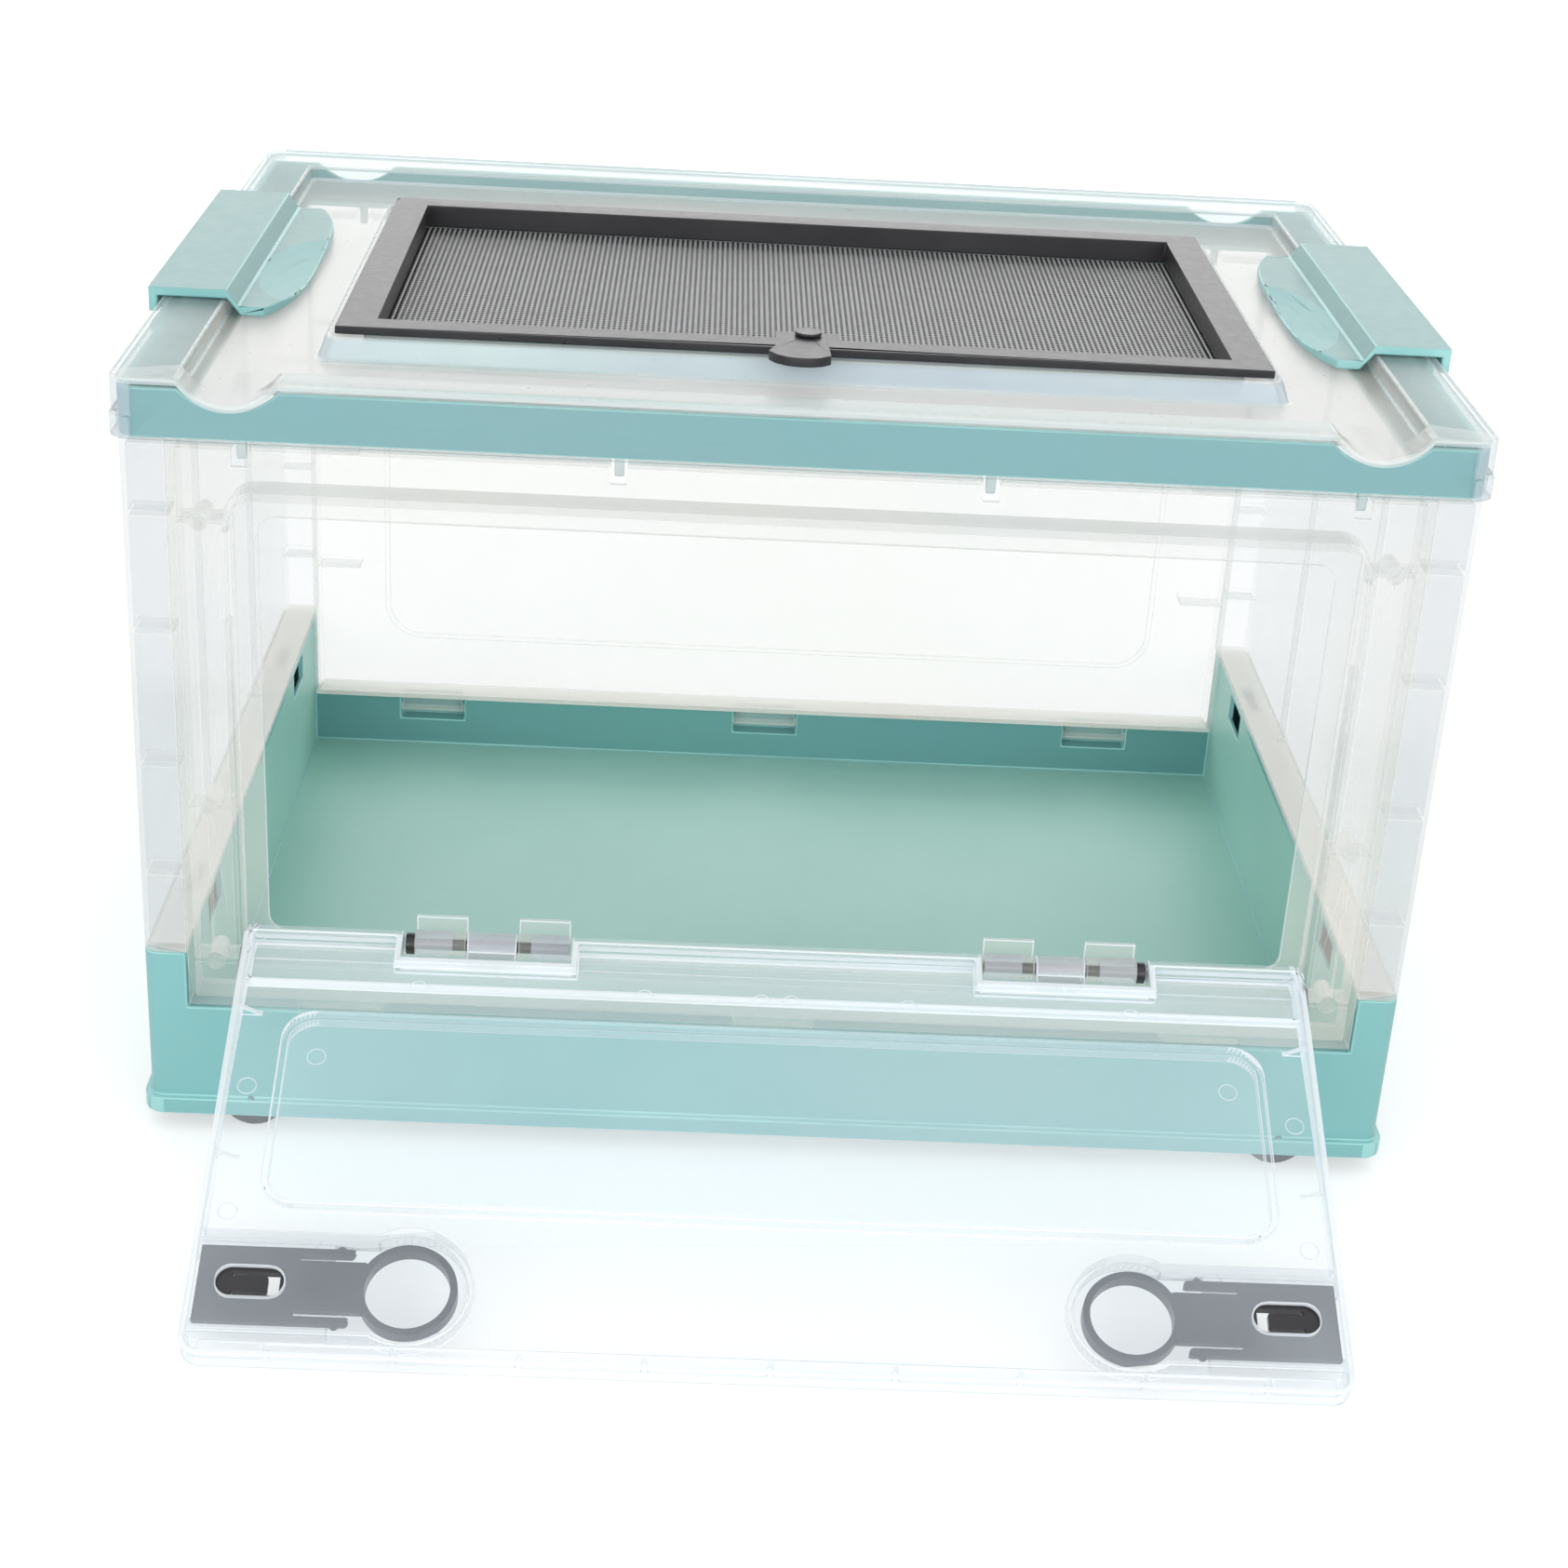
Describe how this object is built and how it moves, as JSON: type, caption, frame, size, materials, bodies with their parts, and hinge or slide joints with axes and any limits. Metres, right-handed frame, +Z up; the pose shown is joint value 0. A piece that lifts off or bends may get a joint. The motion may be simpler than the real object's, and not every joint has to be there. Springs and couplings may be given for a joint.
{
  "type": "folding pet keeper",
  "caption": "Folding clear-walled plastic pet keeper with green base, drop-down front door, slide latches, mesh top hatch, side clamps and small wheels.",
  "frame": {"origin": "on the ground under the centre of the base", "axes": "+X to the keeper's right, +Y to its back, +Z up; the door is on the -Y side"},
  "size_m": [0.445, 0.4515, 0.2771],
  "materials": {
    "green": "semi-gloss translucent mint green",
    "clear": "clear, slightly milky",
    "black": "satin black",
    "mesh": "woven dark grey mesh",
    "steel": "plain"
  },
  "bodies": {
    "case": {"base_tray": "green", "wheel_axles": "steel", "side_panel_left": "clear", "side_panel_right": "clear"},
    "front_wall": {"front_panel": "clear", "door_pin_left": "black", "door_pin_right": "black"},
    "rear_wall": {"rear_panel": "clear"},
    "door": {"door": "clear"},
    "latch_left": {"latch_left": "black"},
    "latch_right": {"latch_right": "black"},
    "top": {"top_frame": "green", "lid": "clear", "clamp_pin_left": "steel", "clamp_pin_right": "steel", "hatch_pins": "steel"},
    "clamp_left": {"clamp_left": "green"},
    "clamp_right": {"clamp_right": "green"},
    "hatch": {"hatch_frame": "black", "hatch_mesh": "mesh", "mesh_retainer": "black", "knob_rivet": "black"},
    "knob": {"hatch_knob": "black"},
    "wheel_front_left": {"wheel_front_left": "black"},
    "wheel_front_right": {"wheel_front_right": "black"},
    "wheel_rear_left": {"wheel_rear_left": "black"},
    "wheel_rear_right": {"wheel_rear_right": "black"}
  },
  "joints": [
    {"name": "front_wall_fold", "type": "hinge", "parent": "case", "child": "front_wall", "pos_m": [0, -0.15, 0.0414], "axis": [-1, 0, 0], "range_deg": [0, 90]},
    {"name": "rear_wall_fold", "type": "hinge", "parent": "case", "child": "rear_wall", "pos_m": [0, 0.15, 0.0264], "axis": [1, 0, 0], "range_deg": [0, 90]},
    {"name": "door_hinge", "type": "hinge", "parent": "front_wall", "child": "door", "pos_m": [0, -0.1519, 0.0731], "axis": [-1, 0, 0], "range_deg": [0, 116.36]},
    {"name": "latch_left_slide", "type": "slide", "parent": "door", "child": "latch_left", "axis": [-1, 0, 0], "range_m": [0, 0.007]},
    {"name": "latch_right_slide", "type": "slide", "parent": "door", "child": "latch_right", "axis": [1, 0, 0], "range_m": [0, 0.007]},
    {"name": "top_lift", "type": "slide", "parent": "case", "child": "top", "axis": [0, 0, 1], "range_m": [0, 0.12]},
    {"name": "clamp_left_hinge", "type": "hinge", "parent": "top", "child": "clamp_left", "pos_m": [-0.2193, 0, 0.2526], "axis": [0, -1, 0], "range_deg": [0, 110]},
    {"name": "clamp_right_hinge", "type": "hinge", "parent": "top", "child": "clamp_right", "pos_m": [0.2193, 0, 0.2526], "axis": [0, 1, 0], "range_deg": [0, 110]},
    {"name": "hatch_hinge", "type": "hinge", "parent": "top", "child": "hatch", "pos_m": [0, 0.0749, 0.2681], "axis": [-1, 0, 0], "range_deg": [0, 110]},
    {"name": "knob_turn", "type": "hinge", "parent": "hatch", "child": "knob", "pos_m": [0, -0.103, 0.2745], "axis": [0, 0, 1], "range_deg": [0, 90]},
    {"name": "wheel_front_left_spin", "type": "hinge", "parent": "case", "child": "wheel_front_left", "pos_m": [-0.178, -0.1514, 0.011], "axis": [0, 1, 0], "continuous": true},
    {"name": "wheel_front_right_spin", "type": "hinge", "parent": "case", "child": "wheel_front_right", "pos_m": [0.178, -0.1514, 0.011], "axis": [0, 1, 0], "continuous": true},
    {"name": "wheel_rear_left_spin", "type": "hinge", "parent": "case", "child": "wheel_rear_left", "pos_m": [-0.178, 0.1514, 0.011], "axis": [0, 1, 0], "continuous": true},
    {"name": "wheel_rear_right_spin", "type": "hinge", "parent": "case", "child": "wheel_rear_right", "pos_m": [0.178, 0.1514, 0.011], "axis": [0, 1, 0], "continuous": true}
  ]
}
